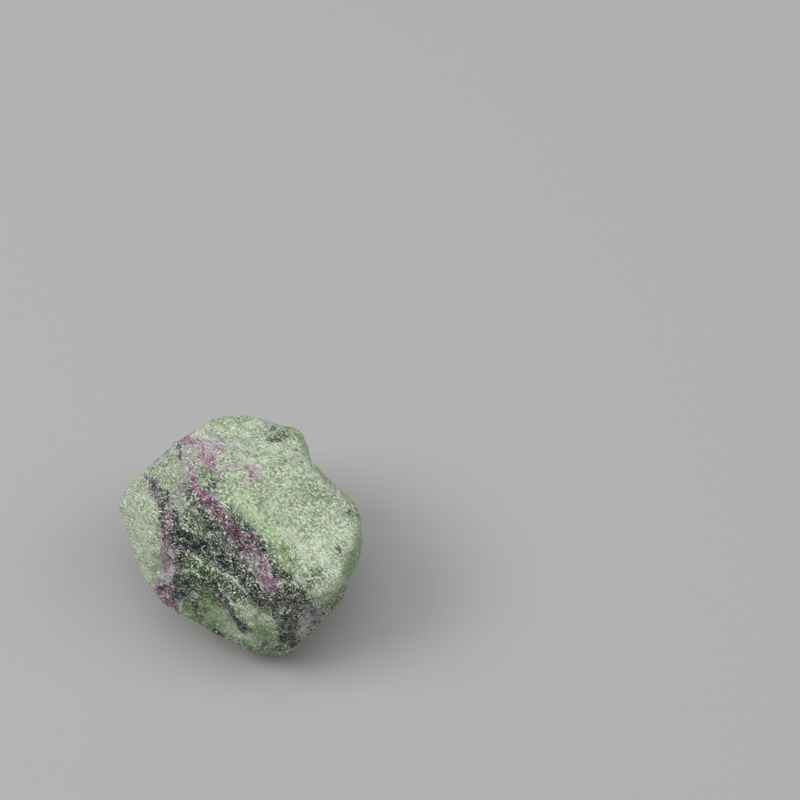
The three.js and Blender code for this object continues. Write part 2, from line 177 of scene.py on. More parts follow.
AMPHIBOLE = {
    "seam behind the cheek, top": (0.45, (-17.0, 10.3, 0.7), (-15.9, 9.2, 1.0), (-15.0, 8.0, 1.0)),
    "seam behind the cheek": (0.43, (-14.8, 8.0, 1.1), (-14.1, 6.2, 1.4), (-13.7, 4.6, 1.3)),
    "seam behind the cheek, low": (0.5, (-13.7, 4.6, 1.1), (-13.7, 2.6, 1.0), (-13.4, 0.2, 0.9)),
    "needles at the seam": (0.85, (-12.9, 7.6, 0.25), (-14.0, 5.0, 0.25)),
    "edge of the top left corner": (0.7, (-11.3, 16.0, 0.6), (-11.0, 14.8, 0.6), (-11.0, 13.4, 0.4)),
    "specks on the upper left": (0.35, (-13.3, 12.9, 0.5), (-16.4, 11.6, 0.5)),
    "speck beside the grey column": (0.4, (-11.9, 4.6, 0.5), (-11.6, 3.6, 0.6)),
    "left of the band": (0.41, (-9.8, 9.0, 0.7), (-9.2, 7.8, 0.8), (-8.6, 6.4, 0.9)),
    "under the band": (0.6, (-7.4, 4.4, 0.6), (-6.4, 3.4, 0.8), (-5.2, 2.7, 0.7)),
    "under the band, left": (0.65, (-9.4, 4.8, 0.6), (-8.6, 5.6, 0.5)),
    "specks beside the band": (0.47, (-6.4, 10.8, 0.5), (-5.6, 9.2, 0.5), (-4.2, 9.2, 0.5)),
    "dark grains of the band": (0.6, (-6.2, 6.4, 0.5), (-5.0, 5.6, 0.6), (-4.4, 4.6, 0.5)),
    "blue-black spot": (0.9, (-5.6, 1.9, 0.6), (-4.4, 1.4, 0.6)),
    "shadow of the band": (0.7, (-2.8, 2.0, 0.6), (-1.8, 2.8, 0.7), (-1.0, 2.4, 0.6)),
    "edge of the lilac": (0.8, (-12.4, 3.4, 0.6), (-11.7, 2.4, 0.7), (-11.2, 1.4, 0.9)),
    # The hollow's near-black is partly amphibole and partly painted shade of the hollow.
    "hollow, left": (0.97, (-11.6, 0.4, 0.9), (-10.4, 0.2, 0.9), (-9.2, -0.2, 0.7)),
    "hollow, foot": (0.97, (-11.6, -2.0, 1.1), (-9.8, -2.2, 0.7), (-8.2, -2.4, 0.6)),
    "hollow, right": (0.95, (-8.2, -1.5, 0.6), (-6.8, -1.8, 0.8), (-5.8, -2.0, 0.5)),
    "hollow, deep right": (0.9, (-7.4, -3.0, 0.5), (-6.0, -3.2, 0.7)),
    "belt, first block": (0.93, (-4.2, -3.8, 0.6), (-3.0, -4.6, 1.0), (-3.0, -6.0, 0.7)),
    "belt, between": (0.85, (-1.2, -4.2, 0.7), (-0.6, -5.4, 0.7), (-0.8, -7.4, 0.7)),
    "belt, black spot": (0.97, (0.4, -6.9, 0.5), (1.4, -7.0, 0.6)),
    "belt, third block": (0.5, (0.2, -8.2, 0.6), (1.2, -9.4, 0.8), (2.4, -10.8, 0.9)),
    "belt, beside the low band": (0.45, (2.4, -8.6, 0.6), (3.2, -9.8, 0.6)),
    "belt, last block": (0.55, (2.8, -12.2, 0.6), (4.4, -12.0, 0.8)),
    "broad end, right side": (0.78, (0.8, 1.1, 0.7), (2.0, 0.4, 0.9), (3.0, -0.7, 0.8)),
    "seam above the broad end": (0.4, (-0.4, 1.8, 0.4), (1.0, 1.2, 0.5), (2.6, 0.0, 0.5)),
    "seam beside the low band": (0.5, (3.9, -1.8, 0.6), (4.8, -3.4, 0.7), (5.2, -4.8, 0.8)),
    "end of the seam": (0.42, (6.0, -6.9, 0.7), (7.4, -7.4, 1.0), (8.6, -8.2, 0.8)),
    "brown end, top": (0.48, (8.6, -9.6, 0.7), (10.0, -10.2, 0.9), (11.4, -10.8, 0.9), (12.0, -12.2, 0.8)),
    "brown end, left": (0.5, (6.8, -11.6, 0.9), (8.4, -12.6, 0.8)),
    "brown end, foot": (0.88, (6.4, -14.6, 0.6), (7.8, -14.7, 0.6), (9.2, -15.0, 0.7), (10.4, -15.0, 0.5)),
    "toward the right edge": (0.55, (12.4, -12.4, 0.7), (13.2, -14.0, 0.7)),
    "low right, foot": (0.8, (9.0, -16.6, 0.7), (10.2, -16.4, 0.6)),
    "bottom right": (0.7, (7.4, -18.6, 0.8), (9.2, -18.4, 1.0)),
    "bottom right edge": (0.55, (6.4, -20.4, 0.6), (8.8, -20.0, 0.8), (10.6, -18.8, 0.6)),
    "low right, beside the flashes": (0.6, (13.0, -15.9, 0.6), (13.9, -14.4, 0.6)),
    "lower right edge": (0.45, (18.2, -11.2, 0.5), (16.6, -12.6, 0.6), (14.8, -13.0, 0.5)),
    "left end of the ledge": (0.85, (-11.4, -2.8, 0.8), (-11.4, -4.6, 0.7), (-11.0, -5.8, 0.6)),
    "beside the column": (
        0.97, (-11.6, -7.4, 0.7), (-12.0, -8.6, 0.8), (-11.8, -9.8, 1.3), (-11.6, -11.2, 1.1),
    ),
    "in the ledge's hollow": (0.55, (-10.2, -8.2, 0.9), (-8.6, -9.0, 0.8)),
    "foot of the ledge's hollow": (0.88, (-10.8, -10.8, 0.8), (-9.2, -9.8, 0.8)),
    "under the ledge's hollow": (0.93, (-8.2, -12.4, 0.6), (-8.0, -13.2, 0.5)),
    "under the ledge, first block": (0.7, (-8.0, -7.4, 0.5), (-6.6, -7.6, 0.7), (-5.6, -8.4, 0.6)),
    "under the ledge, second block": (0.9, (-5.2, -8.6, 0.6), (-4.2, -9.4, 0.5)),
    "under the ledge, third block": (0.65, (-3.9, -9.6, 0.5), (-3.2, -11.2, 0.6), (-2.3, -12.8, 0.7)),
    "under the ledge, last block": (0.85, (-1.8, -13.6, 0.6), (-0.9, -15.2, 0.6), (0.2, -17.0, 0.6)),
    "black stripe of the foot": (0.52, (-5.9, -16.0, 0.4), (-4.8, -17.0, 0.6), (-3.4, -18.0, 0.6)),
    "bottom left": (0.65, (-7.6, -14.0, 0.4), (-6.8, -14.6, 0.4)),
    "bottom": (0.75, (-4.8, -17.4, 0.6), (-3.4, -18.2, 0.5)),
    "bottom, second spot": (0.6, (0.6, -16.0, 0.6), (1.6, -17.4, 0.6)),
    "under the knob": (0.6, (4.6, -18.9, 0.5), (3.6, -20.4, 0.4)),
    "low left of the cheek": (0.45, (-16.4, -5.6, 0.4), (-15.6, -6.6, 0.4), (-15.6, -8.0, 0.4)),
    "top right, first spot": (0.4, (5.8, 19.9, 0.4), (5.2, 18.9, 0.7), (7.6, 19.0, 0.5)),
    "top right, second spot": (0.5, (4.2, 17.6, 0.6), (5.6, 16.9, 0.9), (7.4, 17.2, 0.7)),
    "speck at the top right": (0.85, (10.0, 15.1, 0.4)),
    "specks at the top right": (0.35, (7.8, 13.4, 0.6), (9.8, 14.0, 0.6), (11.2, 13.3, 0.5)),
    "right shoulder": (0.35, (18.4, 3.6, 0.7), (19.8, 4.2, 0.7), (21.0, 3.2, 0.5)),
    "specks before the shoulder": (
        0.3, (14.4, 9.0, 0.5), (16.2, 7.8, 0.5), (17.0, 5.6, 0.5), (18.6, 3.8, 0.5),
    ),
    "speck on the right face": (0.6, (17.4, -2.0, 0.4), (17.6, -3.2, 0.3)),
}
# Smoky grains darken the green rock next to the amphibole. In the hollow and on the bevel the darkening is
# partly painted shade as well.
SMOKY_ZOISITE = {
    "behind the cheek": (0.35, (-16.2, 9.6, 1.1), (-14.0, 6.4, 1.6), (-13.2, 4.0, 1.6)),
    "behind the cheek, low": (0.5, (-13.2, 3.2, 1.4), (-13.0, 0.8, 1.3), (-13.2, -1.5, 1.3)),
    "upper left": (0.1, (-12.6, 12.6, 1.4), (-11.6, 6.4, 1.8)),
    "left of the band": (0.43, (-9.6, 9.2, 0.9), (-8.8, 6.8, 1.2), (-7.0, 4.8, 1.3)),
    "along the band": (0.4, (-5.2, 5.8, 1.1), (-4.4, 4.6, 1.6), (-2.0, 2.4, 1.6)),
    "above the hollow": (0.58, (-11.8, 3.0, 1.2), (-8.0, 2.6, 1.4), (-5.0, 1.4, 1.6), (-3.0, 0.0, 1.8)),
    "hollow": (0.75, (-11.6, -0.4, 1.6), (-9.4, -1.2, 1.8), (-6.4, -2.2, 1.7)),
    "right of the hollow": (0.83, (-6.0, -4.2, 1.2), (-4.0, -1.8, 1.8), (-2.4, -2.8, 1.6), (-0.6, -3.4, 1.0)),
    "broad end of the band": (0.65, (-1.0, 1.0, 1.6), (0.6, -0.6, 1.9), (2.4, -0.8, 1.2)),
    "seam above the broad end": (0.45, (-2.6, 5.6, 0.7), (-2.0, 4.0, 0.8), (-1.0, 3.0, 0.8), (0.8, 1.6, 0.7)),
    "between the bands": (0.3, (0.4, -3.8, 1.4), (2.6, -5.0, 1.6), (4.2, -7.2, 1.0)),
    "beside the low band": (0.6, (4.6, -2.6, 0.7), (5.4, -4.4, 0.8), (6.6, -6.6, 1.0), (8.4, -7.6, 1.0)),
    "belt": (
        0.86, (-3.8, -4.4, 1.4), (-1.2, -5.2, 1.8), (1.0, -8.0, 1.3), (2.8, -10.8, 1.4), (5.6, -13.0, 1.3),
    ),
    "brown end": (0.68, (7.0, -10.4, 1.8), (10.4, -11.0, 2.0), (8.6, -15.2, 1.7), (8.4, -18.0, 1.7)),
    "low right": (0.36, (12.6, -13.0, 1.2), (13.4, -15.0, 0.8)),
    # The bevel's darkening is partly smoky grains and partly painted shade of the bevel, which faces down and
    # right.
    "bevel": (0.3, (18.6, -9.6, 0.9), (17.4, -12.0, 1.1), (14.8, -14.4, 1.3), (12.6, -17.2, 0.9)),
    "right end": (0.1, (20.2, -3.6, 1.2), (19.4, -6.6, 1.4)),
    "ledge": (
        0.84, (-10.6, -4.4, 1.1), (-8.6, -5.8, 1.6), (-6.2, -6.6, 1.5), (-3.8, -7.6, 1.3), (-1.6, -9.6, 0.9),
    ),
    "under the ledge": (0.75, (-11.0, -7.6, 1.5), (-8.0, -8.6, 1.5), (-5.4, -9.4, 1.6), (-3.4, -11.4, 1.6)),
    "under the ledge, low": (0.35, (-11.0, -10.6, 1.4), (-8.8, -12.0, 1.4), (-6.6, -13.0, 1.4)),
    "middle of the foot": (0.35, (-6.4, -11.2, 1.2), (-2.6, -11.8, 0.9), (-1.4, -14.2, 0.9)),
    "bottom": (0.5, (-0.8, -14.4, 0.9), (0.2, -16.2, 0.9), (0.8, -17.4, 0.6)),
    "bottom edge": (0.4, (-7.6, -16.0, 0.8), (-3.6, -18.6, 0.9), (1.0, -20.4, 0.9), (5.6, -21.2, 1.0)),
    "bottom right edge": (0.3, (7.6, -20.6, 1.2), (10.4, -19.2, 1.2), (13.0, -17.0, 0.9)),
    "lip of the ledge": (0.82, (-3.2, -8.6, 1.2), (-1.2, -10.4, 1.4), (0.4, -11.2, 1.0)),
    "chrome patch": (0.5, (-9.4, 1.2, 0.9), (-8.4, 1.0, 0.8), (-6.6, 0.3, 0.9)),
    "dimple": (0.45, (14.0, -6.8, 1.2), (12.8, -8.6, 1.2), (11.6, -9.4, 0.9)),
    "bottom knob": (0.15, (3.6, -17.2, 1.2), (5.2, -18.2, 1.3), (5.6, -20.2, 1.2)),
    "red belt of the column": (0.52, (-14.4, -9.7, 0.7), (-13.4, -9.8, 0.9), (-11.8, -9.8, 1.2)),
    "foot of the column": (0.35, (-14.2, -11.4, 1.1), (-12.6, -12.8, 1.1)),
    "top right": (0.4, (6.2, 18.6, 1.1), (7.2, 17.8, 1.3), (5.2, 17.0, 0.9)),
    "right of the band's top": (0.35, (-6.6, 11.0, 1.4), (-4.4, 9.8, 1.4), (-5.8, 8.4, 1.2)),
    "below the band": (0.45, (-7.4, 3.4, 1.2), (-5.0, 2.6, 1.3), (-2.6, 1.0, 1.2)),
    "below the broad end": (0.6, (-0.8, -2.6, 1.2), (2.2, -2.8, 1.3), (4.8, -2.4, 1.0)),
    "lower left edge": (0.4, (-9.0, -14.8, 0.8), (-7.4, -16.0, 0.8)),
    "foot of the pale face": (0.25, (7.4, -3.2, 1.0), (9.6, -4.2, 1.2), (10.4, -5.4, 1.0)),
    "middle of the face": (0.08, (6.2, 10.6, 1.4), (10.6, 8.8, 2.0), (14.2, 5.8, 2.0)),
}
PALE_ZOISITE = {
    "broad face, low": (1.0, (9.4, 0.6, 2.4), (12.4, -2.4, 3.6), (15.4, -5.4, 3.0)),
    # At the right edge this pale share is partly painted light, on the edge where the surface turns down.
    "broad face, right": (0.95, (16.2, 1.4, 2.2), (19.0, 0.4, 2.2), (19.4, -2.2, 1.5)),
    "low right of the face": (0.5, (16.4, -4.2, 1.4), (16.6, -7.4, 1.2), (14.8, -10.2, 1.2)),
    "middle of the face, low": (0.85, (5.8, 3.4, 1.4), (9.4, 4.6, 1.6), (11.6, 0.0, 1.8)),
    "broad face, top": (0.7, (3.6, 15.2, 1.8), (9.2, 15.6, 1.8), (11.2, 11.6, 1.6)),
    "middle of the face": (
        0.7, (-0.8, 11.4, 1.4), (3.6, 14.4, 1.4), (5.2, 9.2, 1.8), (8.8, 11.0, 2.0), (7.0, 5.6, 2.0),
    ),
    "top": (0.6, (-7.2, 18.4, 1.2), (-2.0, 18.8, 1.4), (-1.2, 14.4, 1.6), (2.6, 20.0, 1.2)),
    "glow": (1.0, (-0.6, 7.6, 1.2), (1.4, 5.6, 1.4), (3.4, 3.4, 1.5), (5.6, 1.4, 1.6), (8.0, 0.2, 1.6)),
    "round the pink patch": (
        0.95, (-7.6, 17.6, 1.2), (-5.8, 16.8, 1.5), (-4.4, 15.4, 1.2), (-3.4, 14.2, 0.8),
    ),
    "cheek": (0.58, (-19.2, 7.0, 2.0), (-18.4, 3.0, 2.4), (-18.0, -3.0, 1.8), (-17.0, -7.4, 1.0)),
    "cheek's edge": (0.9, (-17.8, -6.0, 0.7), (-16.8, -9.2, 0.7), (-15.8, -11.6, 0.6)),
    "column": (0.95, (-14.2, -4.6, 1.2), (-13.4, -5.8, 1.3), (-13.2, -6.8, 0.9)),
    "above the hollow": (0.5, (-10.4, 3.0, 0.8), (-9.4, 1.8, 0.7)),
    "between the bands": (0.55, (0.8, -3.6, 0.9), (2.4, -5.2, 0.8)),
    "streak below the belt": (0.55, (0.4, -12.4, 0.6), (2.0, -13.8, 0.7), (3.4, -15.0, 0.7)),
    "knob": (0.4, (2.6, -17.2, 1.3), (4.2, -16.0, 1.0)),
    "foot, middle": (0.8, (-5.2, -13.4, 0.7), (-3.6, -14.6, 0.8), (-2.0, -16.4, 0.8), (-0.2, -18.6, 0.7)),
    "lower left rim": (0.4, (-9.8, -13.6, 0.6), (-7.4, -15.8, 0.5), (-4.2, -18.8, 0.5), (-0.6, -20.0, 0.5)),
    # Here the pale grains partly stand in for flashes of light, as painted highlights.
    "flashes low on the right": (1.0, (11.4, -14.8, 0.9), (12.2, -15.8, 1.0), (11.0, -17.2, 0.7)),
    "white grains below the belt": (1.0, (4.0, -14.6, 0.6), (4.8, -15.6, 0.8)),
}
CHROME_GREEN = {
    "patch above the hollow": (0.97, (-8.4, 1.2, 0.6), (-7.2, 0.7, 0.8), (-6.0, 0.0, 0.7)),
    "glow beside the broad end": (
        0.85, (0.6, 5.6, 1.3), (2.4, 3.6, 1.6), (4.4, 1.8, 1.5), (5.8, 0.2, 1.2), (8.0, -2.0, 0.9),
    ),
    "bright grains in the glow": (0.98, (6.6, 2.2, 0.4)),
    "bright grains in the glow, low": (0.98, (6.2, -0.9, 0.4)),
    "top of the glow": (0.45, (0.0, 7.6, 1.2), (1.2, 6.0, 1.2)),
    "beside the band": (0.5, (-4.4, 10.6, 1.2), (-1.4, 9.6, 1.2), (-1.8, 5.4, 1.0)),
    "dark green beside the seam": (0.4, (-1.2, 4.2, 0.6), (-0.4, 3.2, 0.7), (1.0, 2.2, 0.6)),
    "dark green left of the patch": (0.6, (-7.0, 11.2, 0.7), (-5.8, 10.0, 0.6)),
    "dark green left of the band": (0.5, (-8.6, 5.6, 0.8), (-7.4, 4.0, 0.7)),
    "top edge": (0.35, (-6.0, 19.5, 0.8), (-3.8, 20.2, 0.8), (1.2, 19.6, 0.8), (2.0, 21.0, 0.6)),
    "top right corner": (0.6, (8.4, 19.5, 0.7), (10.8, 17.6, 0.9)),
    "upper left edge": (0.3, (-11.8, 15.6, 0.6), (-12.6, 14.4, 0.7), (-14.6, 12.6, 0.6)),
    "cloud in the pale face": (0.5, (9.6, 9.0, 1.6), (12.6, 6.8, 2.0), (15.6, 5.0, 1.6)),
    "second cloud in the pale face": (0.25, (5.6, 13.4, 1.4), (6.2, 10.8, 1.2)),
    "streak at the foot of the glow": (0.7, (6.8, -1.5, 0.4), (9.8, -1.7, 0.4)),
    "foot of the pale face": (0.5, (6.2, -3.2, 1.0), (7.6, -4.8, 0.9), (9.6, -6.6, 0.7)),
    "dimple": (0.8, (12.6, -6.6, 0.7), (13.7, -7.2, 0.6)),
    # At the right end the green grains are partly darkened as painted shade of the end, which faces down and
    # right.
    "right end": (0.95, (19.0, -6.2, 1.2), (20.2, -4.4, 1.1), (21.2, -2.0, 0.8)),
    "right edge": (0.75, (21.2, -1.0, 0.8), (19.4, -7.0, 1.2), (18.2, -9.6, 0.9)),
    "lower right edge": (0.45, (17.0, -11.2, 0.8), (15.4, -12.6, 0.7)),
    "ledge": (0.5, (-9.8, -5.0, 0.8), (-8.0, -5.2, 0.8)),
    "ledge, middle": (0.85, (-6.8, -6.1, 0.7), (-5.0, -6.7, 0.6)),
    "ledge, end": (0.95, (-4.0, -7.2, 0.6), (-3.2, -7.7, 0.5)),
    "under the ledge": (0.75, (-9.6, -6.9, 0.9), (-7.0, -9.6, 1.0), (-5.8, -11.2, 1.3), (-6.4, -12.6, 1.2)),
    "foot": (0.8, (-5.4, -11.4, 1.2), (-4.6, -13.6, 1.4), (-3.4, -16.0, 1.2)),
    "lower left, dark": (0.9, (-8.0, -14.0, 0.6), (-6.8, -14.8, 0.7)),
    "lower left edge": (1.0, (-10.0, -13.6, 1.3), (-8.4, -14.8, 1.3), (-6.2, -16.4, 1.3)),
    "bottom edge": (0.75, (-2.6, -18.2, 0.8), (-0.4, -19.2, 0.9), (2.6, -19.4, 0.8)),
    "streak below the belt": (0.55, (-1.8, -9.4, 0.7), (0.6, -12.2, 0.9), (2.8, -14.2, 0.8)),
    "bottom knob": (0.97, (2.8, -16.4, 1.3), (5.2, -17.7, 1.4), (4.4, -19.4, 1.0)),
    "foot of the knob": (0.6, (4.0, -20.4, 0.6), (6.4, -20.6, 0.6)),
    "spot in the belt": (0.8, (5.2, -11.5, 0.5)),
    "spot at the bottom right": (0.75, (10.9, -18.9, 0.7)),
    "spot in the brown end": (0.55, (9.8, -13.4, 0.6)),
    "cheek": (0.3, (-19.8, 1.0, 1.2), (-18.6, -2.4, 1.2)),
    "broad face, low right": (0.32, (11.0, 2.0, 2.4), (14.4, -0.6, 2.6), (16.4, -4.4, 2.2)),
}
RUST = {
    "fleck at the end of the ledge": (0.8, (-11.6, -3.1, 0.5), (-10.0, -3.6, 0.5), (-9.0, -4.0, 0.3)),
    "fleck under the ledge": (0.5, (-8.2, -9.8, 0.4), (-7.2, -10.6, 0.5)),
    "brown end": (0.62, (7.2, -10.8, 1.0), (9.0, -11.2, 1.2), (10.8, -12.2, 1.0)),
    "foot of the brown end": (0.5, (6.6, -16.6, 0.8), (8.6, -16.8, 0.8)),
    "fleck on the right shoulder": (0.35, (18.8, 4.4, 0.5)),
}
# Where more fibres and crumbs are painted white as highlights, and where the crumbs turn further and shine
# more.
GLINTS = {
    "tuft at the end of the streak": (0.9, (3.6, -14.8, 0.5), (5.0, -15.0, 0.6)),
    "flashes at the bottom right": (1.0, (11.2, -15.0, 0.7), (11.8, -16.4, 0.9), (11.2, -17.4, 0.9)),
    "flashes at the lower right": (0.9, (13.6, -14.8, 0.7), (15.6, -13.6, 0.8)),
    "flashes under the ledge": (0.6, (-7.6, -7.2, 0.6), (-6.2, -7.8, 0.6)),
    "needles of the belt": (0.5, (-0.6, -4.4, 0.9), (0.8, -6.0, 0.9), (1.4, -8.6, 1.0)),
    "crest": (0.4, (0.6, -1.6, 0.6), (2.8, -1.2, 0.6), (4.2, -2.8, 0.6)),
    "cheek": (0.3, (-19.4, 7.0, 1.4), (-19.6, 2.0, 1.4)),
    "top left": (0.4, (-6.0, 16.6, 1.2), (-2.6, 17.6, 1.0)),
    "right shoulder": (0.4, (16.4, 7.2, 0.6), (18.8, 5.2, 0.6)),
    "bottom rim": (0.6, (-1.2, -18.6, 0.6), (0.8, -20.2, 0.5)),
}

# On the sides that the eye doesn't see, the bands run on through the stone as sheets. Each has the way that
# it faces from the heart, its distance from the heart, half its thickness, and the share of its grains.
ACROSS = (0.82, 0.57, 0.1)
ACROSS_COLUMN = (0.96, 0.24, 0.3)
ACROSS_RIGHT = (0.82, 0.57, -0.1)
HIDDEN_SHEETS = {
    "ruby_share": [(ACROSS, -0.7, 0.9, 0.75), (ACROSS_COLUMN, -14.0, 1.0, 0.6)],
    "lilac_share": [(ACROSS, -0.2, 1.8, 0.5), (ACROSS_COLUMN, -13.4, 1.6, 0.5)],
    "amphibole_share": [
        (ACROSS, -3.4, 2.2, 0.75),
        (ACROSS, -9.6, 1.6, 0.7),
        (ACROSS, -6.5, 5.0, 0.35),
        (ACROSS_RIGHT, 10.5, 1.1, 0.5),
    ],
    "smoky_share": [(ACROSS, -3.4, 3.4, 0.7), (ACROSS, -9.6, 2.6, 0.7), (ACROSS_RIGHT, 10.5, 2.0, 0.5)],
    "chrome_green_share": [(ACROSS, 2.4, 1.6, 0.5), (ACROSS, -6.6, 1.3, 0.6)],
    "pale_share": [(ACROSS, 7.0, 3.6, 0.5), (ACROSS, -15.0, 3.0, 0.4)],
}
SEEN_ZONES = {
    "ruby_share": RUBY,
    "lilac_share": LILAC,
    "amphibole_share": AMPHIBOLE,
    "smoky_share": SMOKY_ZOISITE,
    "chrome_green_share": CHROME_GREEN,
    "pale_share": PALE_ZOISITE,
    "rust_share": RUST,
    "glint_share": GLINTS,
}
# Single grains of these minerals are scattered all through the rock.
SCATTERED = {"amphibole_share": 0.04, "lilac_share": 0.12, "chrome_green_share": 0.05}


def linear(hex_colour):
    """Turns an sRGB hex value such as '8FA588' into the linear red, green, blue and alpha that nodes take."""
    values = [int(hex_colour[i : i + 2], 16) / 255 for i in (0, 2, 4)]
    return (*[v / 12.92 if v <= 0.04045 else ((v + 0.055) / 1.055) ** 2.4 for v in values], 1.0)


def colour_choice(name, hex_colour, description):
    """A colour that the user can change."""
    return bpy.props.FloatVectorProperty(
        name=name, description=description, default=linear(hex_colour), size=4, min=0, max=1, subtype="COLOR"
    )


def length_choice(name, millimetres, description):
    """A length that the user can change."""
    return bpy.props.FloatProperty(
        name=name, description=description, default=millimetres * MM, min=0, precision=5, unit="LENGTH"
    )


def light_choice(name, strength, description, unit="POWER"):
    """The strength of a light, which the user can change."""
    return bpy.props.FloatProperty(name=name, description=description, default=strength, min=0, unit=unit)


class StoneChoices(bpy.types.PropertyGroup):
    """Sizes and colours of the rock."""

    grain: length_choice("Grain", 0.36, "Width of one grain of the rock")
    fibre: length_choice("Fibre", 0.17, "Width of one fibre and the gap beside it")
    sway: length_choice("Sway", 2.4, "Length over which the fibres sway to and fro")
    block: length_choice("Block", 3.2, "Width of the small blocks that the dark rock breaks into")
    block_height: length_choice("Block height", 0.4, "How far the blocks stand out")
    clump: length_choice("Clump", 1.4, "Width of the clumps of grains that stand out of the broken surface")
    clump_height: length_choice("Clump height", 0.26, "How far the clumps stand out")
    crystal: length_choice("Crystal", 0.75, "Width of the single crystals that stand out")
    crystal_height: length_choice("Crystal height", 0.16, "How far the crystals stand out")
    zoisite_smoky: colour_choice("Zoisite, smoky grains", "404541", "The grains next to the amphibole")
    zoisite_shadow: colour_choice("Zoisite, dark grains", "879383", "The darker grains of the green rock")
    zoisite: colour_choice("Zoisite", "BACDAA", "Most grains of the green rock")
    zoisite_pale: colour_choice("Zoisite, pale grains", "D6EBC5", "The paler grains of the green rock")
    zoisite_warm: colour_choice("Zoisite, yellowish grains", "CBD3AE", "The grains in its warmer clouds")
    zoisite_warm_dark: colour_choice("Zoisite, dark yellowish", "8A9374", "The darker grains of those clouds")
    # This white also paints highlights: the fibres and crumbs that flash white are painted with it.
    zoisite_white_and_highlight: colour_choice("Zoisite, white grains", "F1F6EA", "The grains that flash white")
    chrome_green: colour_choice("Green grains", "93B574", "The vivid green grains")
    chrome_green_dark: colour_choice("Green grains, dark", "3C5632", "The darker of the vivid green grains")
    lilac: colour_choice("Lilac grains", "AEA4AC", "Most of the lilac-grey grains beside the ruby")
    lilac_dark: colour_choice("Lilac grains, dark", "575057", "The darkest of the lilac grains")
    lilac_pale: colour_choice("Lilac grains, pale", "DDD4DB", "The palest of the lilac grains")
    ruby: colour_choice("Ruby", "96607E", "Most grains of the ruby bands")
    ruby_dark: colour_choice("Ruby, dark grains", "43222F", "The darkest grains of the ruby bands")
    ruby_pale: colour_choice("Ruby, pale grains", "CBAEBF", "The palest grains of the ruby bands")
    amphibole: colour_choice("Amphibole", "141717", "The darkest grains of the near-black amphibole")
    amphibole_grey: colour_choice("Amphibole, grey grains", "434846", "The middling grains of the amphibole")
    amphibole_pale: colour_choice("Amphibole, pale grains", "8E9492", "The palest grains of the amphibole")
    rust: colour_choice("Rust", "8F7355", "The few iron-stained flecks")
    rust_dark: colour_choice("Rust, dark grains", "453628", "The darkest of the iron-stained grains")


class StageChoices(bpy.types.PropertyGroup):
    """The floor and the lights."""

    floor: colour_choice("Floor", "BCBCBC", "The pale floor")
    left_light: light_choice("Left light", 6.0, "Power of the large soft light at the left, in watts")
    right_light: light_choice("Right light", 2.7, "Power of the large soft light at the right, in watts")
    top_light: light_choice("Top light", 4.6, "Power of the large soft light above, in watts")
    surroundings: light_choice("Surroundings", 0.19, "Strength of the even light from all round", "NONE")


def eye_frame(points):
    """Turns points in millimetres into the hidden sheets' frame, from the heart, with z towards the eye."""
    x, y, z = (points - np.array(HEART)).T
    cos, sin = math.cos(TIP_BACK), math.sin(TIP_BACK)
    return np.stack([x, y * cos + z * sin, z * cos - y * sin], 1)


def as_seen(points):
    """Where the lines from the eye to the points cross the plane through the stone's seen middle, in mm."""
    ahead = np.array((0, math.cos(EYE_DOWN), -math.sin(EYE_DOWN)))
    up = np.array((0, math.sin(EYE_DOWN), math.cos(EYE_DOWN)))
    from_eye = points - np.array(EYE)
    middle = np.array(SEEN_MIDDLE) - np.array(EYE)
    nearer = (middle @ ahead) / (from_eye @ ahead)
    return np.stack([from_eye[:, 0] * nearer - middle[0], (from_eye @ up) * nearer - middle @ up], 1)


def drawn_along_bands(points):
    """The points squeezed along the bands, so that noise taken there comes out drawn along them."""
    way = np.array(BANDS) / np.linalg.norm(BANDS)
    return points - (points @ way)[:, None] * way * (1 - 1 / BAND_STRETCH)


def waves(points, length, start):
    """Smooth noise with waves of one length, at each point, between about -1 and 1.

    The start is the place in the noise where it is taken, so patterns with different starts are unlike.
    """
    return np.array([noise.noise(Vector(p)) for p in (points / length + start).tolist()])


def straying(points, length, starts, reach):
    """How far each point strays in each direction, by waves of one length, at most about the reach."""
    return np.stack([waves(points, length, start) for start in starts], 1) * reach


def broken_faces(points, width, start):
    """Small flat faces of one width, each set at its own height and its own tilt, as a hammer leaves them."""
    spread = 57.0  # takes neighbouring faces' centres to cells of the noise that are far apart
    heights = []
    for p in (points / width + start).tolist():
        _, centres = noise.voronoi(Vector(p))
        tilt = noise.cell_vector(centres[0] * spread)
        heights.append(tilt.z * 0.5 + (Vector(p) - centres[0]).dot(tilt))
    return np.array(heights)


def depth_in_line(points, line):
    """How far out each point lies from a line of points, as a share of half the line's width there."""
    corners = np.array(line, float)
    outward = np.linalg.norm(points - corners[0, :2], axis=1) / corners[0, 2]
    for a, b in zip(corners[:-1], corners[1:]):
        way = b[:2] - a[:2]
        along = np.clip((points - a[:2]) @ way / (way @ way), 0, 1)
        away = np.linalg.norm(points - a[:2] - along[:, None] * way, axis=1)
        outward = np.minimum(outward, away / (a[2] + along * (b[2] - a[2])))
    return outward


def fade(values, start, end):
    """Rises smoothly from 0 at the start to 1 at the end."""
    t = np.clip((values - start) / (end - start), 0, 1)
    return t * t * (3 - 2 * t)


